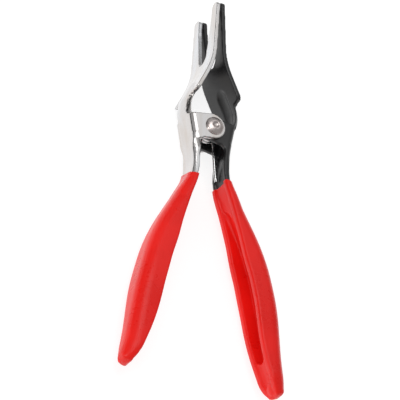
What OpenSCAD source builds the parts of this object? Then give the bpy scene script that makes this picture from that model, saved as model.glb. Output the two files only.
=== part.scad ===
// Fork-jaw spreading pliers: two pressed steel halves on one rivet, a torsion
// spring round the rivet that keeps the jaws shut, and dipped grips.
// Millimetres. The tool lies flat: X across, Y towards the jaws, Z along the
// rivet, with z = 0 at the lower edges of the jaws. Squeezing opens the jaws.

/* [Sheet steel] */
// Thickness of the pressed sheet
sheet_t = 2.3; // [1.8:0.1:2.6]
// Gap between the two jaw tips at rest
tip_gap = 0.3; // [0.2:0.05:1]

/* [Lengths] */
// Pivot to jaw tips
jaw_len = 75.5; // [72:0.5:90]
// Pivot to the end of the steel inside the grips
handle_len = 143.5; // [135:0.5:165]

/* [Jaw plates] */
// Half the width of a jaw plate
jaw_half_w = 13.8; // [12.8:0.2:17]
// Distance from the pivot to the shoulders' lower edge
shoulder_y = 18; // [16.5:0.1:19]
// Radius of the shoulders' corners
shoulder_r = 2.2; // [1:0.1:3]
// Radius of the prongs' outer corners
prong_outer_r = 2.2; // [1:0.1:3]
// Radius of the prongs' corners beside the slot
prong_slot_r = 3; // [1:0.1:3.2]
// Depth of the slot from the tips to its root
slot_len = 34.2; // [28:0.2:37]
// Half the width of the slot at the tips
slot_mouth_half_w = 7.6; // [6:0.1:8]
// Radius of the slot's round root
slot_root_r = 4.4; // [3:0.1:5.5]
// Half the width of the neck below the shoulders
neck_waist_half_w = 5.4; // [4.5:0.1:6.5]
// Radius of the notches between shoulders and neck
notch_r = 1.6; // [1:0.1:2]

/* [Bends of each half, degrees outward going down] */
// Lean of the flat jaw
jaw_lean = 2.6; // [1.5:0.1:4]
// Lean of the shoulder
shoulder_lean = 24.5; // [22:0.5:27]
// Lean of the web beside the pivot
ear_lean = -10.5; // [-12:0.5:-8]
// Lean of the throat above the grips
throat_lean = -7.4; // [-9:0.2:-6]
// Lean of the upper handle
handle_lean = 25; // [22:0.2:27]
// Lean of the lower handle
palm_lean = 8.4; // [5:0.2:10]

/* [Ears and rivet] */
// Half the width over the dark half's ears
inner_ear_half_w = 7; // [6.6:0.1:8]
// Gap between the two pairs of ears
ear_gap = 0.3; // [0.2:0.05:0.6]
// Radius of the ears' round ends
ear_r = 6.3; // [5.4:0.1:6.8]
// Radius of the rivet's shank
shank_r = 3.2; // [2.8:0.05:3.4]
// Running clearance of the rivet in the turning ears
rivet_play = 0.05; // [0.02:0.01:0.09]
// Radius of the rivet's heads
head_r = 5.15; // [4.6:0.05:5.4]
// Height of the domed head
head_h = 2; // [1.4:0.1:2.6]
// Height of the formed tail head
tail_h = 1.6; // [1:0.1:2.2]

/* [Stiffening bead] */
// Width of the pressed bead
bead_w = 7.4; // [6:0.2:8]
// How far the bead stands out of the web
bead_rise = 1.1; // [0.6:0.1:1.4]

/* [Return spring] */
// Wire diameter
wire_d = 1.8; // [1.4:0.1:1.9]
// Gap between turns
turn_gap = 0.5; // [0.42:0.02:0.6]
// Gap between the coil and the rivet's shank
coil_gap = 0.35; // [0.25:0.05:0.5]
// Full turns, to which the legs add half a turn
turns = 2; // [1:1:2]
// Length of the legs below the pivot
leg_len = 24; // [20:0.5:24.5]

/* [Handle channel] */
// Half the width of the channel at the throat
throat_half_w = 7; // [6.4:0.1:7.4]
// Depth of the channel at the throat
throat_depth = 3.9; // [3.4:0.1:5]
// Half the width where the grips begin to swell
grip_top_half_w = 7.7; // [7.4:0.1:8.6]
// Half the width of the channel in the palm
palm_half_w = 9.9; // [9:0.1:11]
// Depth of the channel in the palm
palm_depth = 10.6; // [8:0.2:12]
// Half the width of the channel near its end
tail_half_w = 7.7; // [7:0.1:8.6]
// Depth of the channel at its end
tail_depth = 4.6; // [3.8:0.1:6]
// Outer bend radius at the throat and beside the pivot
throat_bend_r = 2.6; // [2.5:0.1:3.2]
// Outer bend radius in the palm
palm_bend_r = 5.6; // [3.5:0.1:6]

/* [Dipped grips] */
// Thickness of the dipped coat
coat_t = 1; // [0.7:0.1:1.5]
// Distance from the pivot down to the grips' upper rims
rim_y = 27.4; // [25.5:0.1:29]
// Tilt of the rims
rim_tilt = 13; // [0:1:16]

/* [Hidden] */
$fn = 96;

steel_bright = [0.80, 0.80, 0.80];
steel_dark = [0.17, 0.17, 0.18];
coat_red = [0.86, 0.12, 0.10];

// Inner ears run between outer ears. The halves share everything else.
outer_ear_half_w = inner_ear_half_w + ear_gap + sheet_t;
tip_y = jaw_len;
tail_y = -handle_len;
end_y = tail_y - coat_t;
coat_gap = 0.03;
// The pressed part stands this much proud of the channel that runs on from it
proud = 0.05;

// Each bend is [height, change of slope, half its length]
bends = [
    [38.2, tan(shoulder_lean) - tan(jaw_lean), 8.5],
    [12.2, tan(ear_lean) - tan(shoulder_lean), 4.5],
    [-12, tan(throat_lean) - tan(ear_lean), 5],
    [-23, tan(handle_lean) - tan(throat_lean), 3.5],
    [-78, tan(palm_lean) - tan(handle_lean), 24]
];

// A ramp that starts smoothly at u = 0 over the length 2 b
function ramp(u, b) = u <= -b ? 0 : u >= b ? u : (u + b) ^ 2 / (4 * b);
function ramp_slope(u, b) = u <= -b ? 0 : u >= b ? 1 : (u + b) / (2 * b);
// A step from 0 to 1 as y falls from y0 to y1, with softened corners
function step_down(y, y0, y1, b) = (ramp(y0 - y, b) - ramp(y1 - y, b)) / (y0 - y1);

// The web's inner face: its distance from the middle plane, and its slope
function face_x(y) = tip_gap / 2 + tan(jaw_lean) * (tip_y - y)
    + [for (b = bends) b[1] * ramp(b[0] - y, b[2])] * [for (b = bends) 1];
function face_slope(y) = tan(jaw_lean)
    + [for (b = bends) b[1] * ramp_slope(b[0] - y, b[2])] * [for (b = bends) 1];
function face_angle(y) = atan(face_slope(y));
// A point at distance n outward from the web's inner face
function off_face(y, n) = [face_x(y) + n * cos(face_angle(y)), y + n * sin(face_angle(y))];

// Points of an arc round c
function arc(c, r, a0, a1, n) = [for (i = [0:n]) c + r * [cos(a0 + (a1 - a0) * i / n), sin(a0 + (a1 - a0) * i / n)]];

// Section of the channel along the handle
function channel_half_w(y, top) = top + (throat_half_w - top) * step_down(y, -8.5, -13, 1.5)
    + (grip_top_half_w - throat_half_w) * step_down(y, -25, -35, 4)
    + (palm_half_w - grip_top_half_w) * step_down(y, -38, -98, 8)
    + (tail_half_w - palm_half_w) * step_down(y, -106, -128, 10);
function channel_depth(y) = throat_depth
    + (palm_depth - throat_depth) * step_down(y, -28, -76, 7)
    + (tail_depth - palm_depth) * step_down(y, -118, tail_y, 12);
function channel_bend_r(y) = throat_bend_r + (palm_bend_r - throat_bend_r) * step_down(y, -24, -42, 4);

// A U section as a closed loop of [n outward from the web's inner face, z].
// w is half its width, d its depth, t its wall, r its outer bend radius and
// e the radius of its free edges, and its web's outer face lies at n = out.
function u_loop(w, d, t, r, e, out) =
    let (ri = max(0.3, r - t), tip = out - d)
    concat(
        arc([tip + e, w - e], e, 180, 90, 2),
        arc([out - r, w - r], r, 90, 0, 4),
        arc([out - r, r - w], r, 0, -90, 4),
        arc([tip + e, e - w], e, -90, -180, 2),
        arc([tip + e, t - w - e], e, 180, 90, 2),
        arc([out - t - ri, t - w + ri], ri, -90, 0, 4),
        arc([out - t - ri, w - t - ri], ri, 0, 90, 4),
        arc([tip + e, w - t + e], e, -90, -180, 2)
    );
function place_loop(loop, y) = [for (i = [len(loop) - 1:-1:0])
    let (p = off_face(y, loop[i][0])) [p[0], p[1], loop[i][1]]];

// The end of a channel narrows to a round tongue over its last stretch
tongue_len = 14;
function tongue(y, y_end) = y > y_end + tongue_len ? 1 : sqrt(max(0, 1 - ((y_end + tongue_len - y) / tongue_len) ^ 2));

// Steel channel grown by g on every side
function steel_ring(y, g, top, y_end) =
    let (k = tongue(y, y_end), t = sheet_t + 2 * g, e = min(0.3 + 0.8 * g, t / 3))
    let (w = max(channel_half_w(y, top) * k + g, t + 0.5))
    let (d = max(channel_depth(y) * (0.3 + 0.7 * k) + 2 * g, t + 1))
    place_loop(u_loop(w, d, t, min(channel_bend_r(y) + g, w - 0.4, d - e - 0.2), e, sheet_t + g), y);

function heights(y0, y_end) = concat(
    [for (y = [y0:-3.5:-34]) y],
    [for (y = [-38:-8:y_end + tongue_len + 4]) y],
    [for (a = [0:18:72]) y_end + tongue_len * (1 - sin(a))]
);

// Faces between rings, laid out as one run of points
function skin_faces(rings, n, base, flip) = [
    for (i = [0:rings - 2], j = [0:n - 1], k = [0, 1])
        let (a = base + i * n + j, b = base + i * n + (j + 1) % n, c = a + n, d = b + n)
        let (f = k == 0 ? [a, b, d] : [a, d, c])
        flip ? [f[2], f[1], f[0]] : f
];
// An end is closed by a strip that pairs each point with its opposite one
function cap_faces(n, base, flip) = [
    for (j = [0:n / 2 - 2], k = [0, 1])
        let (a = base + j, b = base + n - 1 - j)
        let (f = k == 0 ? [a, a + 1, b - 1] : [a, b - 1, b])
        flip ? [f[2], f[1], f[0]] : f
];

// A solid skinned over rings of n points each
module skinned(rings) {
    n = len(rings[0]);
    m = len(rings);
    polyhedron(
        points = [for (r = rings) each r],
        faces = concat(skin_faces(m, n, 0, true), cap_faces(n, 0, false), cap_faces(n, (m - 1) * n, true)),
        convexity = 6
    );
}

// Side view of a layer over the web's inner face, from the tip down to y_end
module sheet_side(y_end, thick) {
    ys = concat(
        [tip_y, (tip_y + 48) / 2],
        [for (y = [48:-2.5:y_end + 1]) y],
        [y_end]
    );
    polygon(concat([for (y = ys) off_face(y, 0)], [for (i = [len(ys) - 1:-1:0]) off_face(ys[i], thick)]));
}

// Front view of one side of a jaw plate and neck, as [z, y] with corner radii
module rounded(points) {
    n = len(points);
    polygon([for (i = [0:n - 1]) each
        let (p = points[i], a = points[(i + n - 1) % n], b = points[(i + 1) % n], r = p[2])
        let (u = unit([a[0] - p[0], a[1] - p[1]]), v = unit([b[0] - p[0], b[1] - p[1]]))
        let (h = acos(u * v) / 2, q = [p[0], p[1]])
        r == 0 ? [q] :
        let (c = q + unit(u + v) * r / sin(h), s = q + u * r / tan(h) - c, e = q + v * r / tan(h) - c)
        let (a0 = atan2(s[1], s[0]), da = (atan2(e[1], e[0]) - a0 + 540) % 360 - 180)
        arc(c, r, a0, a0 + da, 6)
    ]);
}
function unit(v) = v / norm(v);

module jaw_front() {
    slot_root_y = tip_y - slot_len;
    root_c = slot_root_y + slot_root_r;
    waist_y = shoulder_y - 2 * notch_r - 0.6;
    difference() {
        rounded([
            [-jaw_half_w, tip_y, prong_outer_r],
            [jaw_half_w, tip_y, prong_outer_r],
            [jaw_half_w, shoulder_y, shoulder_r],
            [neck_waist_half_w, shoulder_y - 1, notch_r],
            [neck_waist_half_w, waist_y - 2, 1.5],
            [inner_ear_half_w, 7, 1],
            [inner_ear_half_w - 1, 4, 0],
            [1 - inner_ear_half_w, 4, 0],
            [-inner_ear_half_w, 7, 1],
            [-neck_waist_half_w, waist_y - 2, 1.5],
            [-neck_waist_half_w, shoulder_y - 1, notch_r],
            [-jaw_half_w, shoulder_y, shoulder_r]
        ]);
        translate([0, root_c]) circle(slot_root_r);
        slot_sides(root_c);
    }
}

// The slot widens from its round root to the mouth, whose corners are round
module slot_sides(root_c) {
    side = [[slot_root_r, root_c], [slot_mouth_half_w - 0.4, tip_y - 11], [slot_mouth_half_w, tip_y - prong_slot_r]];
    corner = arc([slot_mouth_half_w + prong_slot_r, tip_y - prong_slot_r], prong_slot_r, 180, 90, 6);
    right = concat(side, corner, [[slot_mouth_half_w + prong_slot_r, tip_y + 1]]);
    polygon(concat(right, [for (i = [len(right) - 1:-1:0]) [-right[i][0], right[i][1]]]));
}

module jaw_plate() {
    reach = 60;
    intersection() {
        linear_extrude(height = 2 * jaw_half_w + 2, center = true) sheet_side(4, sheet_t);
        translate([reach, 0, 0]) rotate([0, -90, 0]) linear_extrude(height = reach) jaw_front();
    }
}

// U section beside the pivot, open towards it, as [n, z]
module bend_section(half_w, depth, grow) {
    r = throat_bend_r + grow;
    t = sheet_t + 2 * grow;
    out = sheet_t + grow;
    w = half_w;
    difference() {
        union() {
            translate([out - depth, -w]) square([depth - r, 2 * w]);
            translate([out - r - 1, r - w]) square([r + 1, 2 * (w - r)]);
            for (s = [-1, 1]) translate([out - r, s * (w - r)]) circle(r);
        }
        translate([out - depth - 1, t - w]) square([depth + 1 - r, 2 * (w - t)]);
        translate([out - r - 1, r - w]) square([r - t + 1, 2 * (w - r)]);
        for (s = [-1, 1]) translate([out - r, s * (w - r)]) circle(r - t);
    }
}

ear_top_y = 6.2;
ear_low_y = -9.4;

// The web and its two bends beside the pivot
module ear_web(half_w) {
    base = off_face(ear_low_y, 0);
    run = (ear_top_y - ear_low_y) / cos(ear_lean);
    translate([base[0], base[1], 0]) rotate([0, 0, ear_lean]) rotate([-90, 0, 0])
        linear_extrude(height = run) bend_section(half_w, throat_bend_r + 3, proud);
}

// Side view of an ear: a round end over the pivot, widening to the web.
// low is the height of its lower edge at the flange.
module ear_side(low) {
    bend_line = sheet_t - throat_bend_r;
    flange_x = off_face(low, sheet_t - throat_depth)[0];
    blend_r = 3;
    circle(ear_r);
    rounded([
        [0, ear_r, 0],
        [-ear_r * sin(15), -ear_r * cos(15), 0],
        [flange_x, -ear_r - 1.2, blend_r],
        [flange_x + 0.5, low, 0],
        [off_face(low, bend_line)[0], low, 0],
        [off_face(ear_top_y, bend_line)[0], ear_top_y - 0.5, 0]
    ]);
}

module ears(half_w, low) {
    difference() {
        linear_extrude(height = 2 * half_w, center = true) ear_side(low);
        linear_extrude(height = 2 * (half_w - sheet_t), center = true) square(80, center = true);
    }
}

// Pressed bead along the web over the shoulder bend. The same capsule cuts the
// inner face and, grown by the sheet, raises the outer one.
bead_ys = [24, 15, 9];
module bead(r, sink) {
    for (y = bead_ys) {
        p = off_face(y, sink);
        translate([p[0], p[1], 0]) sphere(r, $fn = 48);
    }
    for (i = [0, 1]) {
        p = off_face(bead_ys[i], sink);
        q = off_face(bead_ys[i + 1], sink);
        translate([p[0], p[1], 0]) rotate([0, 0, atan2(q[1] - p[1], q[0] - p[0])]) rotate([0, 90, 0])
            cylinder(r = r, h = norm(q - p), $fn = 48);
    }
}

// One pressed half, drawn on the +X side with its pivot at the origin
module half(ear_half_w, bore_r) {
    rise = sheet_t + bead_rise;
    bead_r = (rise - sheet_t + (bead_w / 2) ^ 2 / bead_rise) / 2;
    sink = rise - bead_r;
    inner_ear = ear_half_w == inner_ear_half_w;
    difference() {
        union() {
            difference() {
                union() {
                    jaw_plate();
                    intersection() {
                        bead(bead_r, sink);
                        linear_extrude(height = 2 * bead_w, center = true) sheet_side(4, rise + 1);
                    }
                }
                bead(bead_r - sheet_t, sink);
            }
            ear_web(ear_half_w);
            ears(ear_half_w, inner_ear ? -15 : ear_low_y);
            handle_channel(ear_half_w - proud);
        }
        cylinder(r = bore_r, h = 4 * ear_half_w, center = true);
    }
}

module handle_channel(top) {
    ys = heights(-6, tail_y);
    skinned([for (y = ys) steel_ring(y, 0, top, tail_y)]);
}

// The dipped coat wraps the channel inside and out and closes over its end
module coat() {
    ys = heights(-23, tail_y);
    top = throat_half_w;
    outer = concat(
        [for (y = ys) steel_ring(y, coat_t, top, end_y)],
        [steel_ring(end_y + 0.4, 0.8 * coat_t, top, end_y), steel_ring(end_y, 0.3 * coat_t, top, end_y)]
    );
    difference() {
        skinned(outer);
        skinned([for (y = concat([-21], ys)) steel_ring(y, coat_gap, top, tail_y)]);
        translate([0, -rim_y, 0]) rotate([rim_tilt, 0, 0]) translate([-5, 0, -30]) cube([40, 40, 60]);
    }
}

// Lay a half out on its side, lift the tool to its resting height and centre it
lift = jaw_half_w;
centre_y = (handle_len + coat_t - jaw_len) / 2;
module placed() {
    translate([0, centre_y, lift]) children();
}

module left_lever() {
    color(steel_bright) placed() mirror([1, 0, 0]) half(outer_ear_half_w, shank_r);
}

module right_lever() {
    color(steel_dark) placed() half(inner_ear_half_w, shank_r + rivet_play);
}

module left_grip() {
    color(coat_red) placed() mirror([1, 0, 0]) coat();
}

module right_grip() {
    color(coat_red) placed() coat();
}

// Shank with a domed head in front and a flatter formed head behind
module pivot_rivet() {
    z = outer_ear_half_w;
    function dome(h, n) =
        let (big_r = (head_r ^ 2 + h ^ 2) / (2 * h), half_a = asin(head_r / big_r))
        [for (i = [0:n]) big_r * [sin(half_a * i / n), cos(half_a * i / n) - 1] + [0, h]];
    front = dome(head_h - 0.4, 8);
    back = dome(tail_h - 0.3, 8);
    profile = concat(
        [for (p = front) p + [0, z + 0.4]],
        [[head_r, z], [shank_r, z], [shank_r, -z], [head_r, -z]],
        [for (i = [8:-1:0]) [back[i][0], -back[i][1] - z - 0.3]]
    );
    color(steel_bright) placed() rotate_extrude() polygon(profile);
}

// Torsion spring: a coil round the shank between the inner ears, whose two
// legs run down inside the channels and hook outward above the grips
coil_r = shank_r + coil_gap + wire_d / 2;
pitch = wire_d + turn_gap;
sweep_a = 360 * turns + 180;
leg_z = pitch * sweep_a / 720;
leg_web_gap = 0.3;
leg_end_x = face_x(-leg_len) - leg_web_gap - wire_d / 2;
leg_points = [[coil_r + 0.45, -4.5], [coil_r + 1.2, -12], [leg_end_x - 0.7, 3 - leg_len], [leg_end_x, -leg_len]];
ring_step = 30;
spring_path = concat(
    [for (i = [len(leg_points) - 1:-1:0]) [-leg_points[i][0], leg_points[i][1], leg_z]],
    [for (a = [0:ring_step:sweep_a])
        [-coil_r * cos(a), coil_r * sin(a), leg_z - pitch * a / 360]],
    [for (p = leg_points) [p[0], p[1], -leg_z]]
);
wire_sides = 10;
function path_dir(i) = unit(spring_path[min(i + 1, len(spring_path) - 1)] - spring_path[max(i - 1, 0)]);
module return_spring() {
    rings = [for (i = [0:len(spring_path) - 1])
        let (d = path_dir(i), u = unit(cross(d, [0, 0, 1])), v = cross(d, u))
        [for (k = [0:wire_sides - 1]) let (a = 360 * k / wire_sides)
            spring_path[i] + wire_d / 2 * (cos(a) * u + sin(a) * v)]];
    color(steel_bright) placed() skinned(rings);
}
// Least gap between stretches of the wire more than half a turn apart
apart = 180 / ring_step;
self_gap = min([for (i = [0:len(spring_path) - 1], j = [0:len(spring_path) - 1])
    if (j > i + apart) norm(spring_path[i] - spring_path[j])]) - wire_d;
echo(spring_least_gap_to_itself = self_gap);

left_lever();
right_lever();
pivot_rivet();
return_spring();
left_grip();
right_grip();
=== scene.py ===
from math import acos, atan, atan2, cos, degrees, pi, radians, sin, sqrt, tan
import bpy
from mathutils import Euler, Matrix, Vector


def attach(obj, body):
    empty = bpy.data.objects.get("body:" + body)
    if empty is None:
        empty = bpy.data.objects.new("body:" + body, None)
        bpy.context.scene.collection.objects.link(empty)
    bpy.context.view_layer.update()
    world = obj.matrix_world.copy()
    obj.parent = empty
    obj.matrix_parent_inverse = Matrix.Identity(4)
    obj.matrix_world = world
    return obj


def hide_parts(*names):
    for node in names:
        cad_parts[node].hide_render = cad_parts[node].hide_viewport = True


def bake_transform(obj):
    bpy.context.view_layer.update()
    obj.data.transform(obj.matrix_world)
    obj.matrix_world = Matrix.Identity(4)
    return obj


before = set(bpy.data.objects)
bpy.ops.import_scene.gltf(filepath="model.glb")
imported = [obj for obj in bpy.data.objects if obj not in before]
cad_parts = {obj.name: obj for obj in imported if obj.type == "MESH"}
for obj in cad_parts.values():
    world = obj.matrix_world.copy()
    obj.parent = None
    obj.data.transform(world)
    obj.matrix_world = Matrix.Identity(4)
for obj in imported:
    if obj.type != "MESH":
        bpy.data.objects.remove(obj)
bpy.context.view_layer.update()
print("frame loaded:", len(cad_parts), "solids")

mm = 0.001
pivot = Vector((0, 34.5 * mm, 13.8 * mm))  # centre of the rivet at rest


# helpers for node trees: a setting that starts with in_ is the value of an input
def addNode(tree, kind, place=(0, 0), **settings):
    node = tree.nodes.new(kind)
    node.location = place
    for key, value in settings.items():
        if key.startswith("in_"):
            node.inputs[key[3:].replace("_", " ")].default_value = value
        else:
            setattr(node, key, value)
    return node


def mathNode(tree, operation, first, second, clamp=False):
    node = addNode(tree, "ShaderNodeMath", operation=operation, use_clamp=clamp)
    for index, value in enumerate((first, second)):
        if isinstance(value, (int, float)):
            node.inputs[index].default_value = value
        else:
            tree.links.new(value, node.inputs[index])
    return node.outputs[0]


def rangeNode(tree, value, limits, place):
    node = addNode(tree, "ShaderNodeMapRange", place)
    node.inputs["From Min"].default_value, node.inputs["From Max"].default_value = limits
    tree.links.new(value, node.inputs["Value"])
    return node


# an input whose default is a tuple is a place, any other is a number, and all outputs are numbers
def newGroup(name, inputs, outputs):
    group = bpy.data.node_groups.new(name, "ShaderNodeTree")
    for label, value in inputs.items():
        kind = "NodeSocketVector" if isinstance(value, tuple) else "NodeSocketFloat"
        socket = group.interface.new_socket(label, in_out="INPUT", socket_type=kind)
        socket.default_value = value
    for label in outputs:
        group.interface.new_socket(label, in_out="OUTPUT", socket_type="NodeSocketFloat")
    start = addNode(group, "NodeGroupInput", (-900, 0))
    end = addNode(group, "NodeGroupOutput", (700, 0))
    return group, start, end


# edge wear: the mesh is fine enough for its own pointed places to show where hands rub
edgeRub = {"pointed": (0.53, 0.6), "breakUp": 0.6, "speckScale": 900, "speckDetail": 3}


def makeEdgeGroup():
    group, start, end = newGroup("edgeRub", {"Break Up": edgeRub["breakUp"]}, ["Mask"])
    links = group.links
    geometry = addNode(group, "ShaderNodeNewGeometry", (-700, 100))
    spread = rangeNode(group, geometry.outputs["Pointiness"], edgeRub["pointed"], (-400, 100))
    coordinates = addNode(group, "ShaderNodeTexCoord", (-900, -300))
    noise = addNode(group, "ShaderNodeTexNoise", (-700, -300),
                    in_Scale=edgeRub["speckScale"], in_Detail=edgeRub["speckDetail"])
    links.new(coordinates.outputs["Object"], noise.inputs["Vector"])
    noiseSpots = mathNode(group, "MULTIPLY", noise.outputs["Fac"], start.outputs["Break Up"])
    mask = mathNode(group, "SUBTRACT", spread.outputs[0], noiseSpots, clamp=True)
    links.new(mask, end.inputs["Mask"])
    return group


# skin of every finish: fine grain, drawn out along the tool where Stretch is small, and smudges
pressedSkin = {"grainDetail": 4, "grainRoughness": 0.6, "smudgeDetail": 4, "smudgeRoughness": 0.5,
               "grainShare": 0.4, "spread": (0.3, 0.7), "contrast": (0.35, 0.65)}


def makeSkinGroup():
    s = pressedSkin
    inputs = {"Grain Scale": 1400.0, "Stretch": 0.2, "Smudge Scale": 90.0, "Low": 0.2, "High": 0.35}
    group, start, end = newGroup("pressedSkin", inputs, ["Roughness", "Height", "Smudge"])
    links = group.links
    coordinates = addNode(group, "ShaderNodeTexCoord", (-900, -200))
    stretch = addNode(group, "ShaderNodeCombineXYZ", (-900, -400), in_X=1.0, in_Z=1.0)
    links.new(start.outputs["Stretch"], stretch.inputs["Y"])
    squeezed = addNode(group, "ShaderNodeVectorMath", (-700, -300), operation="MULTIPLY")
    links.new(coordinates.outputs["Object"], squeezed.inputs[0])
    links.new(stretch.outputs[0], squeezed.inputs[1])
    grain = addNode(group, "ShaderNodeTexNoise", (-500, -200),
                    in_Detail=s["grainDetail"], in_Roughness=s["grainRoughness"])
    links.new(squeezed.outputs[0], grain.inputs["Vector"])
    links.new(start.outputs["Grain Scale"], grain.inputs["Scale"])
    smudge = addNode(group, "ShaderNodeTexNoise", (-500, -500),
                     in_Detail=s["smudgeDetail"], in_Roughness=s["smudgeRoughness"])
    links.new(squeezed.outputs[0], smudge.inputs["Vector"])
    links.new(start.outputs["Smudge Scale"], smudge.inputs["Scale"])
    mixed = mathNode(group, "ADD",
                     mathNode(group, "MULTIPLY", grain.outputs["Fac"], s["grainShare"]),
                     mathNode(group, "MULTIPLY", smudge.outputs["Fac"], 1 - s["grainShare"]))
    spread = rangeNode(group, mixed, s["spread"], (-200, -300))
    links.new(start.outputs["Low"], spread.inputs["To Min"])
    links.new(start.outputs["High"], spread.inputs["To Max"])
    links.new(spread.outputs[0], end.inputs["Roughness"])
    links.new(grain.outputs["Fac"], end.inputs["Height"])
    contrast = rangeNode(group, smudge.outputs["Fac"], s["contrast"], (-200, -600))
    links.new(contrast.outputs[0], end.inputs["Smudge"])
    return group


# painted dark reflection: dark noise spots painted within a short reach of one corner, where the
# bright half's shoulders and notch mirror dark surroundings
paintedCornerReflection = {"scale": 600.0, "detail": 3, "threshold": 0.5, "sharpness": 9.0, "core": 2.0}


# the group that paints dark reflection spots near one corner
def makePaintedReflectionGroup():
    c = paintedCornerReflection
    inputs = {"Corner": (0, 0, 0), "Reach": 0.004}
    group, start, end = newGroup("paintedCornerReflection", inputs, ["Mask"])
    links = group.links
    coordinates = addNode(group, "ShaderNodeTexCoord", (-900, -200))
    gap = addNode(group, "ShaderNodeVectorMath", (-600, 100), operation="DISTANCE")
    links.new(coordinates.outputs["Object"], gap.inputs[0])
    links.new(start.outputs["Corner"], gap.inputs[1])
    noise = addNode(group, "ShaderNodeTexNoise", (-600, -200),
                    in_Scale=c["scale"], in_Detail=c["detail"])
    links.new(coordinates.outputs["Object"], noise.inputs["Vector"])
    share = mathNode(group, "DIVIDE", gap.outputs["Value"], start.outputs["Reach"])
    inside = mathNode(group, "SUBTRACT", 1.0, share)
    near = mathNode(group, "MULTIPLY", inside, c["core"], clamp=True)
    over = mathNode(group, "SUBTRACT", noise.outputs["Fac"], c["threshold"])
    sharp = mathNode(group, "MULTIPLY", over, c["sharpness"], clamp=True)
    links.new(mathNode(group, "MULTIPLY", near, sharp), end.inputs["Mask"])
    return group


paintedReflectionGroup = makePaintedReflectionGroup()
edgeGroup = makeEdgeGroup()
skinGroup = makeSkinGroup()


def placeGroup(tree, group, place, **values):
    node = addNode(tree, "ShaderNodeGroup", place, node_tree=group)
    for key, value in values.items():
        node.inputs[key.replace("_", " ")].default_value = value
    return node


# the mix node's colour sockets have no names of their own, so they are taken by number
def colourMix(tree, factor, first, second):
    node = addNode(tree, "ShaderNodeMix", data_type="RGBA")
    tree.links.new(factor, node.inputs[0])
    for socket, value in ((node.inputs[6], first), (node.inputs[7], second)):
        if isinstance(value, tuple):
            socket.default_value = (*value, 1)
        else:
            tree.links.new(value, socket)
    return node.outputs[2]


# one maker for every finish: base skin, a second tone in the smudges, rubbed edges, painted dark
# reflection spots at corners
def makeFinish(name, look):
    material = bpy.data.materials.new(name)
    material.use_nodes = True
    tree = material.node_tree
    shader = tree.nodes["Principled BSDF"]
    links = tree.links
    low, high = look["roughness"]
    skin = placeGroup(tree, skinGroup, (-700, 0), Grain_Scale=look["grainScale"],
                      Stretch=look["stretch"], Smudge_Scale=look["smudgeScale"], Low=low, High=high)
    edge = placeGroup(tree, edgeGroup, (-700, -300), Break_Up=look["edgeBreak"])
    toned = colourMix(tree, skin.outputs["Smudge"], look["colour"], look["colourTwo"])
    worn = colourMix(tree, edge.outputs["Mask"], toned, look["edgeColour"])
    # dark spots painted near the listed corners stand in for dark reflections
    for corner, reach in look.get("noiseSpots", ()):
        paintedSpot = placeGroup(tree, paintedReflectionGroup, (-500, 300), Corner=corner, Reach=reach)
        worn = colourMix(tree, paintedSpot.outputs["Mask"], worn, look["paintedReflectionColour"])
    links.new(worn, shader.inputs["Base Color"])
    links.new(skin.outputs["Roughness"], shader.inputs["Roughness"])
    shader.inputs["Metallic"].default_value = look["metallic"]
    shader.inputs["IOR"].default_value = look.get("ior", 1.5)
    bump = addNode(tree, "ShaderNodeBump", (-300, -500),
                   in_Strength=look["bumpStrength"], in_Distance=look["bumpDepth"])
    links.new(skin.outputs["Height"], bump.inputs["Height"])
    links.new(bump.outputs["Normal"], shader.inputs["Normal"])
    return material


brightLook = {
    "colour": (0.62, 0.575, 0.54), "colourTwo": (0.72, 0.73, 0.75),
    "edgeColour": (0.85, 0.85, 0.85), "edgeBreak": 0.3, "metallic": 1.0, "roughness": (0.15, 0.27),
    "grainScale": 1500.0, "stretch": 0.15, "smudgeScale": 95.0,
    "bumpStrength": 0.25, "bumpDepth": 0.00004,
    # each painted dark reflection is its corner and how far from it the painted dark spots reach
    "paintedReflectionColour": (0.04, 0.045, 0.055),
    "noiseSpots": (((-0.0138, 0.0496, 0.0265), 0.0052), ((-0.0130, 0.0540, 0.0010), 0.007),
              ((-0.0152, 0.0425, 0.0208), 0.003)),
}
darkLook = {
    "colour": (0.009, 0.009, 0.010), "colourTwo": (0.016, 0.0155, 0.016),
    "edgeColour": (0.05, 0.05, 0.052), "edgeBreak": 0.5, "metallic": 0.0, "ior": 1.52,
    "roughness": (0.26, 0.38), "grainScale": 1200.0, "stretch": 0.5, "smudgeScale": 80.0,
    "bumpStrength": 0.3, "bumpDepth": 0.00004,
}
rivetLook = {
    "colour": (0.52, 0.46, 0.44), "colourTwo": (0.66, 0.60, 0.58),
    "edgeColour": (0.74, 0.70, 0.69), "edgeBreak": 0.3, "metallic": 1.0, "roughness": (0.22, 0.36),
    "grainScale": 1200.0, "stretch": 1.0, "smudgeScale": 260.0,
    "bumpStrength": 0.35, "bumpDepth": 0.00006,
}
wireLook = {
    "colour": (0.70, 0.70, 0.70), "colourTwo": (0.78, 0.78, 0.78),
    "edgeColour": (0.85, 0.85, 0.85), "edgeBreak": 0.3, "metallic": 1.0, "roughness": (0.16, 0.28),
    "grainScale": 1600.0, "stretch": 0.2, "smudgeScale": 200.0,
    "bumpStrength": 0.25, "bumpDepth": 0.00003,
}
vinylLook = {
    "colour": (0.82, 0.011, 0.007), "colourTwo": (0.92, 0.016, 0.011),
    "edgeColour": (0.96, 0.035, 0.025), "edgeBreak": 0.3, "metallic": 0.0, "ior": 1.32,
    "roughness": (0.24, 0.34), "grainScale": 300.0, "stretch": 1.0, "smudgeScale": 45.0,
    "bumpStrength": 0.2, "bumpDepth": 0.00005,
}
brightSteel = makeFinish("brightSteel", brightLook)
darkSteel = makeFinish("darkSteel", darkLook)
rivetSteel = makeFinish("rivetSteel", rivetLook)
springSteel = makeFinish("springSteel", wireLook)
redVinyl = makeFinish("redVinyl", vinylLook)
print("finishes made")


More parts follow.
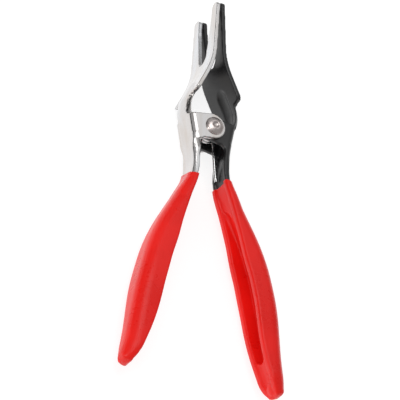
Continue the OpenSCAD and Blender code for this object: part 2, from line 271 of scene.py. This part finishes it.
def deselectAll():
    bpy.ops.object.select_all(action="DESELECT")


def onlySelect(piece):
    deselectAll()
    piece.select_set(True)
    bpy.context.view_layer.objects.active = piece


def applyAll(piece):
    onlySelect(piece)
    for modifier in list(piece.modifiers):
        bpy.ops.object.modifier_apply(modifier=modifier.name)


# a pressed half is told in mm from the pivot: x out from the middle, y towards the jaws, z up
halfForm = {
    "sheet": 2.3, "tipGap": 0.3, "tipY": 75.5, "tailY": -142.5, "jawLean": 2.6,
    # each bend is its height, the lean below it in degrees outward, and half its length
    "bends": [(38.2, 24.5, 8.5), (12.2, -10.5, 4.5), (-12, -5.8, 5), (-27.6, 28.2, 8.8),
              (-68.4, 13.2, 13.5), (-99.4, 7.2, 8.8), (-126, 10, 5)],
    "throatHalf": 7.3, "gripTopHalf": 8.2, "palmHalf": 9.8, "tailHalf": 7.2,
    "throatDepth": 3.7, "palmDepth": 11.4, "tailDepth": 5.6,
    "earBend": 3.7, "throatBend": 1.8, "palmBend": 5.6,
    # each step is what a measure comes to, the heights it changes between, and half an end's ease
    "halfSteps": [("throatHalf", -8.5, -14, 2), ("gripTopHalf", -25, -35, 4),
                  ("palmHalf", -50, -86, 8), ("tailHalf", -98, -130, 10)],
    "depthSteps": [("palmDepth", -36, -67, 7), ("tailDepth", -113, -142.5, 12)],
    "bendSteps": [("throatBend", -12, -20, 2), ("palmBend", -24, -42, 4)],
    "steelTop": -6, "steelEnd": -139.8, "roundEnd": 11, "endShare": 0.3,
    # how round the free edges are, and what keeps a section sound where it gets small
    "edgeRound": 0.3, "edgeGrowth": 0.8, "leastInner": 0.3, "leastHalf": 0.5, "leastDepth": 1,
    "bendSpare": (0.4, 0.2),
}
# sections stand close together at the throat, then wider apart, then at turns round the end
ringForm = {
    "closeStep": 2, "closeEnd": -34, "wideStep": 4, "wideStart": -37, "endSpare": 3,
    "endTurns": (0, 12, 24, 36, 48, 60, 72),
}
sheetSkin = {"voxel": 0.405 * mm, "softness": 0.5, "softRounds": 5}
vinylSkin = {"voxel": 0.42 * mm, "softness": 0.5, "softRounds": 5}


# a ramp from 0 that starts to climb over the length 2 b, and its slope
def ramp(u, b):
    return 0 if u <= -b else u if u >= b else (u + b) ** 2 / (4 * b)


def rampSlope(u, b):
    return 0 if u <= -b else 1 if u >= b else (u + b) / (2 * b)


# 0 above the height high and 1 below low
def stepDown(y, high, low, b):
    return (ramp(high - y, b) - ramp(low - y, b)) / (high - low)


# a measure that starts at one value and takes each step, to a value or to one named in halfForm
def stepped(y, value, steps):
    total = value
    for goal, high, low, b in steps:
        goal = halfForm.get(goal, goal)
        total += (goal - value) * stepDown(y, high, low, b)
        value = goal
    return total


def slopeChanges():
    before = halfForm["jawLean"]
    for height, lean, half in halfForm["bends"]:
        yield height, tan(radians(lean)) - tan(radians(before)), half
        before = lean


# where the sheet's inner face is at a height
def faceX(y):
    start = halfForm["tipGap"] / 2 + tan(radians(halfForm["jawLean"])) * (halfForm["tipY"] - y)
    return start + sum(change * ramp(height - y, half) for height, change, half in slopeChanges())


# the place that is n out from that face, square to it
def offFace(y, n):
    slope = tan(radians(halfForm["jawLean"]))
    slope += sum(change * rampSlope(height - y, half) for height, change, half in slopeChanges())
    lean = atan(slope)
    return faceX(y) + n * cos(lean), y + n * sin(lean)


def arcPoints(cx, cy, r, start, stop, steps):
    turns = [radians(start + (stop - start) * i / steps) for i in range(steps + 1)]
    return [(cx + r * cos(t), cy + r * sin(t)) for t in turns]


def channelHalf(y, top):
    return stepped(y, top, halfForm["halfSteps"])


def channelDepth(y):
    return stepped(y, halfForm["throatDepth"], halfForm["depthSteps"])


def channelBend(y):
    return stepped(y, halfForm["earBend"], halfForm["bendSteps"])


# a U section as (n out from the web's inner face, z)
# w half width, d depth, t wall, r bend, e free edges, out the web's outer face
def uLoop(w, d, t, r, e, out):
    few, many = 3, 6  # steps round a free edge and round a bend
    inner = max(halfForm["leastInner"], r - t)
    tip, bend, innerBend = out - d, out - r, out - t - inner
    return (arcPoints(tip + e, w - e, e, 180, 90, few) + arcPoints(bend, w - r, r, 90, 0, many)
            + arcPoints(bend, r - w, r, 0, -90, many) + arcPoints(tip + e, e - w, e, -90, -180, few)
            + arcPoints(tip + e, t - w - e, e, 180, 90, few)
            + arcPoints(innerBend, t - w + inner, inner, -90, 0, many)
            + arcPoints(innerBend, w - t - inner, inner, 0, 90, many)
            + arcPoints(tip + e, w - t + e, e, -90, -180, few))


def placeLoop(loop, y):
    return [(*offFace(y, n), z) for n, z in loop]


# share of the full width that is left where the handle rounds off to its end
def tongue(y, end):
    u = (end + halfForm["roundEnd"] - y) / halfForm["roundEnd"]
    return 1 if u < 0 else sqrt(max(0, 1 - u * u))


def tongueDepth(y, k):
    share = halfForm["endShare"]
    return channelDepth(y) * (share + (1 - share) * k)


# the channel's section at a height, grown on all sides for the coat
def steelRing(y, grow, top, end):
    f = halfForm
    k = tongue(y, end)
    t = f["sheet"] + 2 * grow
    e = min(f["edgeRound"] + f["edgeGrowth"] * grow, t / 3)
    w = max(channelHalf(y, top) * k + grow, t + f["leastHalf"])
    d = max(tongueDepth(y, k) + 2 * grow, t + f["leastDepth"])
    sideSpare, depthSpare = f["bendSpare"]
    r = min(channelBend(y) + grow, w - sideSpare, d - e - depthSpare)
    return placeLoop(uLoop(w, d, t, r, e, f["sheet"] + grow), y)


def heightsDown(start, end):
    g, rounded = ringForm, halfForm["roundEnd"]
    close, wide = g["closeStep"], g["wideStep"]
    low = end + rounded + g["endSpare"]
    heights = [start - close * i for i in range(int((start - g["closeEnd"]) / close) + 1)]
    heights += [g["wideStart"] - wide * i for i in range(int((g["wideStart"] - low) / wide) + 1)]
    return heights + [end + rounded * (1 - sin(radians(a))) for a in g["endTurns"]]


# side is -1 for the left half and 1 for the right one
def toRow(point, side):
    return pivot + Vector((point[0] * side, point[1], point[2])) * mm


def newSolid(name, points, faces, side):
    mesh = bpy.data.meshes.new(name)
    mesh.from_pydata([toRow(p, side) for p in points], [], faces)
    solid = bpy.data.objects.new(name, mesh)
    bpy.context.scene.collection.objects.link(solid)
    onlySelect(solid)
    bpy.ops.object.mode_set(mode="EDIT")
    bpy.ops.mesh.select_all(action="SELECT")
    bpy.ops.mesh.normals_make_consistent(inside=False)
    bpy.ops.object.mode_set(mode="OBJECT")
    return solid


def loft(name, rings, side):
    n = len(rings[0])
    points = [p for ring in rings for p in ring]
    faces = [[i * n + j, i * n + (j + 1) % n, (i + 1) * n + (j + 1) % n, (i + 1) * n + j]
             for i in range(len(rings) - 1) for j in range(n)]
    last = (len(rings) - 1) * n
    return newSolid(name, points, faces + [list(range(n)), list(range(last, last + n))], side)


# a flat outline given a thickness, along z or, as a front view of (z, y), along x
def prism(name, outline, low, high, side, front=False):
    turn = (lambda a, b, c: (c, b, a)) if front else (lambda a, b, c: (a, b, c))
    return loft(name, [[turn(a, b, c) for a, b in outline] for c in (low, high)], side)


def carve(piece, cutter, operation="DIFFERENCE"):
    modifier = piece.modifiers.new("carve", "BOOLEAN")
    modifier.operation = operation
    modifier.object = cutter
    modifier.solver = "EXACT"
    applyAll(piece)
    bpy.data.objects.remove(cutter)


def remeshFine(piece, skin):
    remesh = piece.modifiers.new("fineSkin", "REMESH")
    remesh.mode = "VOXEL"
    remesh.voxel_size = skin["voxel"]
    remesh.use_smooth_shade = True
    if skin["softRounds"]:
        soften = piece.modifiers.new("soften", "SMOOTH")
        soften.factor = skin["softness"]
        soften.iterations = skin["softRounds"]
    applyAll(piece)


# overlapping solids become one skin whose edges are dressed soft
def fuse(name, solids, skin, material):
    onlySelect(solids[0])
    for solid in solids[1:]:
        solid.select_set(True)
    bpy.ops.object.join()
    piece = bpy.context.object
    piece.name = name
    remeshFine(piece, skin)
    piece.data.materials.clear()
    piece.data.materials.append(material)
    print(name, "has", len(piece.data.polygons), "faces")
    return piece


# an outline of corners (x, y, r), where r is the corner's radius
def roundedOutline(points, steps=8):
    outline = []
    for i, (px, py, r) in enumerate(points):
        corner = Vector((px, py))
        u = (Vector(points[i - 1][:2]) - corner).normalized()
        v = (Vector(points[(i + 1) % len(points)][:2]) - corner).normalized()
        if r == 0:
            outline.append((px, py))
            continue
        half = acos(max(-1, min(1, u.dot(v)))) / 2
        centre = corner + (u + v).normalized() * r / sin(half)
        first = corner + u * r / tan(half) - centre
        lastOne = corner + v * r / tan(half) - centre
        start = degrees(atan2(first.y, first.x))
        sweep = (degrees(atan2(lastOne.y, lastOne.x)) - start + 540) % 360 - 180
        outline += arcPoints(centre.x, centre.y, r, start, start + sweep, steps)
    return outline


# side view of the sheet from one height down to another
def sheetSide(top, bottom, thick, step=1.5):
    count = int((top - bottom) / step) + 1
    heights = [top + (bottom - top) * i / count for i in range(count + 1)]
    return [offFace(y, 0) for y in heights] + [offFace(y, thick) for y in reversed(heights)]


def addBall(place, radius, sides):
    deselectAll()
    bpy.ops.mesh.primitive_uv_sphere_add(segments=sides, ring_count=sides // 2, radius=radius,
                                         location=place)
    return bpy.context.object


# the fork, its shoulders, the neck down to the ears, and the pressed bead
jawForm = {
    "halfWidth": 13.8, "shoulderY": 18, "neckHalf": 5.4, "neckLow": 4, "notchDrop": 1,
    "shoulderRound": 2.2, "notchRound": 1.6, "prongRound": 2.2,
    "slotLength": 34.2, "slotRoot": 4.4, "slotMouth": 7.6, "mouthRound": 3, "slotTaper": (0.4, 11),
    "beadWidth": 10.4, "beadRise": 1.3, "beadHeights": (24, 15, 9), "beadSides": 64,
    "raisedTop": 32, "raisedHalf": 8,
    "sideSpare": 1, "cutSpare": 2, "cutReach": 60,  # how far blanks and cutters go past the shape
}
beadSkin = {"voxel": 0.5 * mm, "softRounds": 0}


# overlapping balls and rods along the web, remeshed into one body
def beadBody(radius, sink, side):
    sides = jawForm["beadSides"]
    places = [offFace(y, sink) for y in jawForm["beadHeights"]]
    parts = [addBall(toRow((x, y, 0), side), radius * mm, sides) for x, y in places]
    for (x0, y0), (x1, y1) in zip(places, places[1:]):
        low, high = toRow((x0, y0, 0), side), toRow((x1, y1, 0), side)
        turn = (high - low).to_track_quat("Z", "Y").to_euler()
        deselectAll()
        bpy.ops.mesh.primitive_cylinder_add(vertices=sides, radius=radius * mm,
                                            depth=(high - low).length,
                                            location=(low + high) / 2, rotation=turn)
        parts.append(bpy.context.object)
    for part in parts:
        part.select_set(True)
    bpy.ops.object.transform_apply(location=True, rotation=True, scale=True)
    bpy.context.view_layer.objects.active = parts[0]
    bpy.ops.object.join()
    body = bpy.context.object
    remeshFine(body, beadSkin)
    return body


def slotOutline():
    j, tipY = jawForm, halfForm["tipY"]
    root, mouth, lip = j["slotRoot"], j["slotMouth"], j["mouthRound"]
    narrower, lower = j["slotTaper"]
    right = [(mouth + lip, tipY + j["cutSpare"])]
    right += arcPoints(mouth + lip, tipY - lip, lip, 90, 180, 8)
    right += [(mouth - narrower, tipY - lower)]
    floor = arcPoints(0, tipY - j["slotLength"] + root, root, 0, -180, 20)
    return right + floor + [(-z, y) for z, y in reversed(right)]


def makeJaw(side):
    j = jawForm
    sheet, tipY, reach = halfForm["sheet"], halfForm["tipY"], j["cutReach"]
    h, s, k, low = j["halfWidth"], j["shoulderY"], j["neckHalf"], j["neckLow"]
    blankHalf = h + j["sideSpare"]
    plate = prism("jawPlate", sheetSide(tipY, low, sheet), -blankHalf, blankHalf, side)
    notch = s - j["notchDrop"]
    front = roundedOutline([
        (-h, tipY, j["prongRound"]), (h, tipY, j["prongRound"]), (h, s, j["shoulderRound"]),
        (k, notch, j["notchRound"]), (k, low, 0), (-k, low, 0), (-k, notch, j["notchRound"]),
        (-h, s, j["shoulderRound"]),
    ])
    carve(plate, prism("front", front, 0, reach, side, front=True), "INTERSECT")
    carve(plate, prism("slot", slotOutline(), -j["cutSpare"], reach, side, front=True))
    # the bead is part of a ball that stands out of the web, hollow behind
    rise = sheet + j["beadRise"]
    radius = (j["beadRise"] + (j["beadWidth"] / 2) ** 2 / j["beadRise"]) / 2
    sink = rise - radius
    raised = prism("raised", sheetSide(j["raisedTop"], low, rise + j["sideSpare"]),
                   -j["raisedHalf"], j["raisedHalf"], side)
    carve(raised, beadBody(radius, sink, side), "INTERSECT")
    for solid in (plate, raised):
        carve(solid, beadBody(radius - sheet, sink, side))
    return [plate, raised]


# two ears and the web between them: the left half's pair stands outside the right half's
earForm = {
    "radius": 7.3, "back": 1, "backTurn": 15, "top": 5.4, "low": -9.4, "innerLow": -15,
    "outerHalf": 9.3, "innerHalf": 6.7, "webHeights": (3, 0, -3, -6), "webDepth": 2,
    "footDrop": 1.2, "footRound": 3, "footOut": 0.5, "discSides": 120,
}


def makeEars(half, low, side):
    e, f = earForm, halfForm
    sheet, bend, r, back = f["sheet"], f["earBend"], e["radius"], e["back"]
    section = uLoop(half, bend + e["webDepth"], sheet, bend, f["edgeRound"], sheet)
    heights = (e["top"], *e["webHeights"], e["low"])
    solids = [loft("earWeb", [placeLoop(section, y) for y in heights], side)]
    flangeX = offFace(low, sheet - channelDepth(low))[0]
    turn = radians(e["backTurn"])
    outline = roundedOutline([
        (back, r, 0), (back - r * sin(turn), -r * cos(turn), 0),
        (flangeX, -r - e["footDrop"], e["footRound"]), (flangeX + e["footOut"], low, 0),
        (offFace(low, sheet - bend)[0], low, 0), (*offFace(e["top"], sheet - bend), 0),
    ])
    # the disc's points stop one step short of a whole turn, because the outline closes itself
    steps = e["discSides"] - 1
    disc = arcPoints(back, 0, r, 0, 360 * steps / e["discSides"], steps)
    for a, b in ((half - sheet, half), (-half, sheet - half)):
        solids.append(prism("ear", outline, a, b, side))
        solids.append(prism("earEnd", disc, a, b, side))
    return solids


def makeHalf(name, half, low, side, material):
    top, end = halfForm["steelTop"], halfForm["steelEnd"]
    channel = loft("channel", [steelRing(y, 0, half, end) for y in heightsDown(top, end)], side)
    return fuse(name, makeJaw(side) + makeEars(half, low, side) + [channel], sheetSkin, material)


# a dipped grip, told like its half. Outlines are (z, y) and each step is as in halfForm
coatForm = {
    "thick": 1.0, "cap": 2.0, "capTurns": (0, 20, 40, 55, 68, 80), "coatTop": -23,
    "rimShare": 0.55, "rimSteps": [(1, -27, -37, 3)],
    "leftRim": (27.4, 17), "rightRim": (29.1, 0), "rimCut": (-5, 50, 40, 30),
    # the vinyl between the channel's sides, with a groove that is twice as deep at the rim
    "fillTop": -24, "fillSpare": 2.5, "fillSteps": (3, 2.5), "fillChange": -42, "fillLeast": 0.6,
    "grooveDepth": 1.3, "grooveShare": 2, "grooveSteps": [(1, -30, -42, 4), (0.6, -110, -124, 5)],
    "sagMost": 0.8,
    # the leaf-shaped hollow: its upper lip slants across the channel, its lower end is round
    "lip": [(-5, -41), (-2.4, -43.4), (0.3, -47), (2.8, -52), (4, -57)],
    "lipBack": -40, "lipFront": -60, "leafSide": -110.5, "leafSteps": 24, "leafCut": (-1, 60),
    "hollowLow": -126.5, "lowLength": 11, "lowHalf": 6, "lowMiddle": -1,
    "bedHeights": (-43, -130.5, 3), "bedShare": 0.25, "bedCrown": 0.6, "bedBack": -0.3,
    # the dipped end
    "plugY": -138.6, "plugOut": -0.7, "plugRadii": (5.6, 5.8, 3.9), "plugSides": 48,
    "tailRound": (4.1, 6.8), "tailMiddle": -0.65, "tailSteps": 20, "tailCut": (6, 4, 5, 20),
}


def coatHere(y):
    return coatForm["thick"] * stepped(y, coatForm["rimShare"], coatForm["rimSteps"])


def makeShell(end, side):
    c = coatForm
    tail, throat = halfForm["tailY"], halfForm["throatHalf"]
    heights = heightsDown(c["coatTop"], tail)
    rings = [steelRing(y, coatHere(y), throat, end) for y in heights]
    last = steelRing(tail, c["thick"], throat, end)
    middle = [sum(p[k] for p in last) / len(last) for k in range(3)]
    for a in c["capTurns"]:
        keep, drop = cos(radians(a)), c["cap"] * sin(radians(a))
        rings.append([(middle[0] + (p[0] - middle[0]) * keep, p[1] - drop,
                       middle[2] + (p[2] - middle[2]) * keep) for p in last])
    return loft("coat", rings, side)


# half the room between the channel's coated sides
def roomHalf(y, k=1):
    width = channelHalf(y, halfForm["throatHalf"]) * k
    return width - halfForm["sheet"] - coatForm["thick"] / 2


# the vinyl runs together between the channel's sides and leaves a groove
def makeFilling(end, side):
    c = coatForm
    rings = []
    y = c["fillTop"]
    while y > end + c["fillSpare"]:
        k = tongue(y, end)
        w = max(c["fillLeast"], roomHalf(y, k))
        free = halfForm["sheet"] - tongueDepth(y, k) - coatHere(y)
        groove = c["grooveDepth"] * stepped(y, c["grooveShare"], c["grooveSteps"])
        floor, top = min(-c["thick"], free + groove), -c["thick"] / 4
        sag = min(c["sagMost"], w / 4, (top - floor) / 3)
        section = [(top, w), (top, w / 3), (top, -w / 3), (top, -w)]
        section += [(floor, -w), (floor + sag, -w / 3), (floor + sag, w / 3), (floor, w)]
        rings.append(placeLoop(section, y))
        y -= c["fillSteps"][0] if y > c["fillChange"] else c["fillSteps"][1]
    return loft("filling", rings, side)


def leafOutline():
    c, wide = coatForm, halfForm["palmHalf"]
    lowY = c["hollowLow"] + c["lowLength"]
    leaf = [(-wide, c["lipBack"]), *c["lip"], (wide, c["lipFront"]), (wide, c["leafSide"])]
    for i in range(c["leafSteps"] + 1):
        t = pi * i / c["leafSteps"]
        leaf.append((c["lowMiddle"] + c["lowHalf"] * cos(t), lowY - c["lowLength"] * sin(t)))
    return leaf + [(-wide, c["leafSide"])]


# the hollow's own bottom, a little crowned
def makeBed(side):
    c = coatForm
    rings = []
    y, low, step = c["bedHeights"]
    while y > low:
        w = roomHalf(y)
        deep = c["bedShare"] * (channelDepth(y) - halfForm["sheet"])
        section = [(c["bedBack"], w), (c["bedBack"], -w)]
        for z in [w * i / 4 for i in range(-4, 5)]:
            section.append((-deep - c["bedCrown"] * (1 - (z / w) ** 2), z))
        rings.append(placeLoop(section, y))
        y -= step
    return loft("bed", rings, side)


# the drip that closes the end between the channel's sides
def makeEndPlug(side):
    c = coatForm
    across, along, deep = c["plugRadii"]
    place = (*offFace(c["plugY"], c["plugOut"]), 0)
    plug = addBall(toRow(place, side), mm, c["plugSides"])
    plug.scale = (deep, along, across)
    plug.rotation_euler = (0, 0, radians(halfForm["bends"][-1][1]) * side)
    bpy.ops.object.transform_apply(location=True, rotation=True, scale=True)
    return plug


# what is cut off so that the dipped end is round in profile
def roundedTail(end, side):
    c = coatForm
    (deep, long), middle, steps = c["tailRound"], c["tailMiddle"], c["tailSteps"]
    inward, outward, below, reach = c["tailCut"]
    top, low = end + long, end - below
    back, face = middle - deep - inward, middle + deep + outward
    outline = [(middle + deep * cos(pi * i / steps), top - long * sin(pi * i / steps))
               for i in range(steps + 1)]
    outline += [(back, top), (back, low), (face, low), (face, top)]
    return prism("tailRound", [offFace(y, n) for n, y in outline], -reach, reach, side)


# what is cut off above the rim, given as its distance below the pivot and its tilt in degrees
def rimBlock(rim, side):
    depth, tilt = rim
    inside, outside, above, reach = coatForm["rimCut"]
    slope = tan(radians(tilt))
    rings = []
    for z in (-reach, reach):
        rimY = -z * slope - depth
        corners = ((inside, rimY), (outside, rimY), (outside, above), (inside, above))
        rings.append([(x, y, z) for x, y in corners])
    return loft("rimBlock", rings, side)


def makeCoat(name, rim, side):
    end = halfForm["tailY"] - coatForm["cap"]
    coat = makeShell(end, side)
    filling = makeFilling(end, side)
    inside, outside = coatForm["leafCut"]
    carve(filling, prism("leaf", leafOutline(), inside, outside, side, front=True))
    bed = makeBed(side)
    plug = makeEndPlug(side)
    for solid in (coat, filling, plug):
        carve(solid, roundedTail(end, side))
    for solid in (coat, filling):
        carve(solid, rimBlock(rim, side))
    return fuse(name, [coat, filling, bed, plug], vinylSkin, redVinyl)


leftSheet = makeHalf("brightHalf", earForm["outerHalf"], earForm["low"], -1, brightSteel)
rightSheet = makeHalf("blackHalf", earForm["innerHalf"], earForm["innerLow"], 1, darkSteel)
print("pressed halves made")
leftVinyl = makeCoat("leftDippedGrip", coatForm["leftRim"], -1)
rightVinyl = makeCoat("rightDippedGrip", coatForm["rightRim"], 1)
print("dipped grips made")

# rivet, as [radius, height above the pivot] in mm from the tail to the head and its centre mark
rivetShape = {
    "sides": 96, "smoothBelow": 50,
    "profile": [
        [1.6, -10.82], [3.0, -10.6], [4.2, -10.2], [4.9, -9.75], [5.12, -9.5], [5.12, -9.32],
        [3.2, -9.3], [3.2, 9.3], [5.05, 9.32], [5.15, 9.45], [5.13, 9.65], [4.95, 9.95],
        [4.5, 10.3], [3.8, 10.68], [3.0, 10.98], [2.4, 11.12], [2.05, 11.16], [1.85, 11.08],
        [1.6, 10.86], [1.2, 10.6], [0.7, 10.46], [0.25, 10.42],
    ],
}


def makeRivet():
    profile = rivetShape["profile"]
    deselectAll()
    radius, height = profile[0]
    bpy.ops.mesh.primitive_circle_add(vertices=rivetShape["sides"], radius=radius * mm,
                                      fill_type="NGON",
                                      location=pivot + Vector((0, 0, height * mm)))
    rivet = bpy.context.object
    rivet.name = "domedRivet"
    bpy.ops.object.transform_apply(location=True, rotation=True, scale=True)
    bpy.ops.object.mode_set(mode="EDIT")
    bpy.ops.mesh.select_all(action="SELECT")
    for nextRadius, nextHeight in profile[1:]:
        rise = (nextHeight - height) * mm
        bpy.ops.mesh.extrude_region_move(TRANSFORM_OT_translate={"value": (0, 0, rise)})
        scale = nextRadius / radius
        centre = pivot + Vector((0, 0, nextHeight * mm))
        bpy.ops.transform.resize(value=(scale, scale, 1), center_override=centre)
        radius, height = nextRadius, nextHeight
    bpy.ops.mesh.select_all(action="SELECT")
    bpy.ops.mesh.normals_make_consistent(inside=False)
    bpy.ops.object.mode_set(mode="OBJECT")
    bpy.ops.object.shade_smooth_by_angle(angle=radians(rivetShape["smoothBelow"]))
    rivet.data.materials.append(rivetSteel)
    return rivet


# torsion spring: one wire wound round the shank, with a leg down each handle, hooked at its end
wireShape = {
    "wireRadius": 0.9, "coilRadius": 4.45, "pitch": 2.3, "turns": 2.5, "perTurn": 40,
    "leg": [[4.9, -4.5], [5.4, -8.5], [5.75, -12], [6.2, -18], [6.82, -24], [7.35, -26]],
    "order": 4, "stepsBetween": 3, "roundSteps": 5, "mergeGap": 0.001, "smoothBelow": 50,
}


def wirePath():
    w = wireShape
    half = w["pitch"] * w["turns"] / 2
    path = [(-x, y, half) for x, y in reversed(w["leg"])]
    count = int(w["perTurn"] * w["turns"])
    for step in range(count + 1):
        turn = 2 * pi * w["turns"] * step / count
        path.append((-w["coilRadius"] * cos(turn), w["coilRadius"] * sin(turn),
                     half - w["pitch"] * turn / (2 * pi)))
    return path + [(x, y, -half) for x, y in w["leg"]]


def makeSpring():
    path = wirePath()
    curve = bpy.data.curves.new("springWire", "CURVE")
    curve.dimensions = "3D"
    spline = curve.splines.new("NURBS")
    spline.points.add(len(path) - 1)
    for point, place in zip(spline.points, path):
        point.co = (*(pivot + Vector(place) * mm), 1)
    spline.order_u = wireShape["order"]
    spline.use_endpoint_u = True
    spline.resolution_u = wireShape["stepsBetween"]
    curve.bevel_depth = wireShape["wireRadius"] * mm
    curve.bevel_resolution = wireShape["roundSteps"]
    curve.use_fill_caps = True
    spring = bpy.data.objects.new("returnSpring", curve)
    bpy.context.scene.collection.objects.link(spring)
    onlySelect(spring)
    bpy.ops.object.convert(target="MESH")
    bpy.ops.object.mode_set(mode="EDIT")
    bpy.ops.mesh.select_all(action="SELECT")
    bpy.ops.mesh.remove_doubles(threshold=wireShape["mergeGap"] * mm)
    bpy.ops.mesh.normals_make_consistent(inside=False)
    bpy.ops.object.mode_set(mode="OBJECT")
    bpy.ops.object.shade_smooth_by_angle(angle=radians(wireShape["smoothBelow"]))
    spring.data.materials.append(springSteel)
    return spring


rivet = makeRivet()
spring = makeSpring()

for piece, node, body, slot in (
    (leftSheet, "left_lever", "left_half", "bright_steel"),
    (rightSheet, "right_lever", "right_half", "dark_steel"),
    (leftVinyl, "left_grip", "left_half", "dipped_vinyl"),
    (rightVinyl, "right_grip", "right_half", "dipped_vinyl"),
    (rivet, "pivot_rivet", "left_half", "rivet_steel"),
):
    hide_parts(node)
    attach(piece, body)
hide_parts("return_spring")
# the solids behind the dressed pieces get the same finishes
for node, material in (
    ("left_lever", brightSteel), ("right_lever", darkSteel), ("pivot_rivet", rivetSteel),
    ("return_spring", springSteel), ("left_grip", redVinyl), ("right_grip", redVinyl),
):
    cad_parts[node].data.materials.clear()
    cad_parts[node].data.materials.append(material)
print("pieces made")

# the studio: a table lit from within, which keeps shadows faint, soft boxes and one black flag
studio = {
    "floorSize": 6.0, "floorTone": (0.36, 0.36, 0.36), "floorGlow": 0.8, "floorShine": 0.1,
    "matt": 0.9, "worldStrength": 0.4,
    # each box is its name, place, size and power, and all of them aim at the table's middle
    "softBoxes": [("overheadBox", (-0.3, 0.3, 1.4), (1.2, 0.8), 6.6),
                  ("leftBox", (-1.4, -0.5, 0.9), (0.5, 1.2), 7),
                  ("farBox", (0.55, 0.78, 1.2), (0.9, 0.7), 1.0)],
    "flagPlace": (-0.55, 0.36, 0.11), "flagSize": (1.3, 0.2), "flagTone": (0.01, 0.01, 0.012),
}


def mattCard(name, materialName, size, place, tone):
    deselectAll()
    bpy.ops.mesh.primitive_plane_add(size=size, location=place)
    card = bpy.context.object
    card.name = name
    material = bpy.data.materials.new(materialName)
    material.use_nodes = True
    shader = material.node_tree.nodes["Principled BSDF"]
    shader.inputs["Base Color"].default_value = (*tone, 1)
    shader.inputs["Roughness"].default_value = studio["matt"]
    card.data.materials.append(material)
    return card, shader


def makeFloor():
    size, tone = studio["floorSize"], studio["floorTone"]
    floor, shader = mattCard("floor", "paleFloor", size, (0, 0, 0), tone)
    shader.inputs["Specular IOR Level"].default_value = studio["floorShine"]
    shader.inputs["Emission Color"].default_value = (1, 1, 1, 1)
    shader.inputs["Emission Strength"].default_value = studio["floorGlow"]


def makeWorld():
    world = bpy.data.worlds.new("studioWorld")
    bpy.context.scene.world = world
    world.use_nodes = True
    background = world.node_tree.nodes["Background"]
    background.inputs["Color"].default_value = (1, 1, 1, 1)
    background.inputs["Strength"].default_value = studio["worldStrength"]


def softBox(name, place, size, power):
    data = bpy.data.lights.new(name, "AREA")
    data.shape = "RECTANGLE"
    data.size, data.size_y = size
    data.energy = power
    lamp = bpy.data.objects.new(name, data)
    bpy.context.scene.collection.objects.link(lamp)
    lamp.location = place
    lamp.rotation_euler = (-Vector(place)).to_track_quat("-Z", "Y").to_euler()


# the bright half mirrors the flag as a dark line at its bends
def darkFlag(name):
    place = studio["flagPlace"]
    flag, shader = mattCard(name, "blackCard", 1, place, studio["flagTone"])
    flag.scale = (*studio["flagSize"], 1)
    flag.rotation_euler = (-Vector(place)).to_track_quat("Z", "Y").to_euler()
    flag.visible_camera = False
    flag.visible_shadow = False


makeFloor()
makeWorld()
for box in studio["softBoxes"]:
    softBox(*box)
darkFlag("leftFlag")

# camera at the photograph's angle
cameraPlace = {
    "location": (-0.56036, -0.72000, 1.16923),
    "turn": (28.51745, -26.38432, 1.29441),
    "lens": 253.423, "sensor": 36, "nearest": 0.05,
}
cameraData = bpy.data.cameras.new("photoCamera")
cameraData.lens = cameraPlace["lens"]
cameraData.sensor_width = cameraPlace["sensor"]
cameraData.clip_start = cameraPlace["nearest"]
camera = bpy.data.objects.new("photoCamera", cameraData)
bpy.context.scene.collection.objects.link(camera)
camera.location = cameraPlace["location"]
camera.rotation_euler = Euler([radians(a) for a in cameraPlace["turn"]], "XYZ")
bpy.context.scene.camera = camera
bpy.context.scene.view_settings.view_transform = "Standard"
print("studio and camera set")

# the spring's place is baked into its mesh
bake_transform(spring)
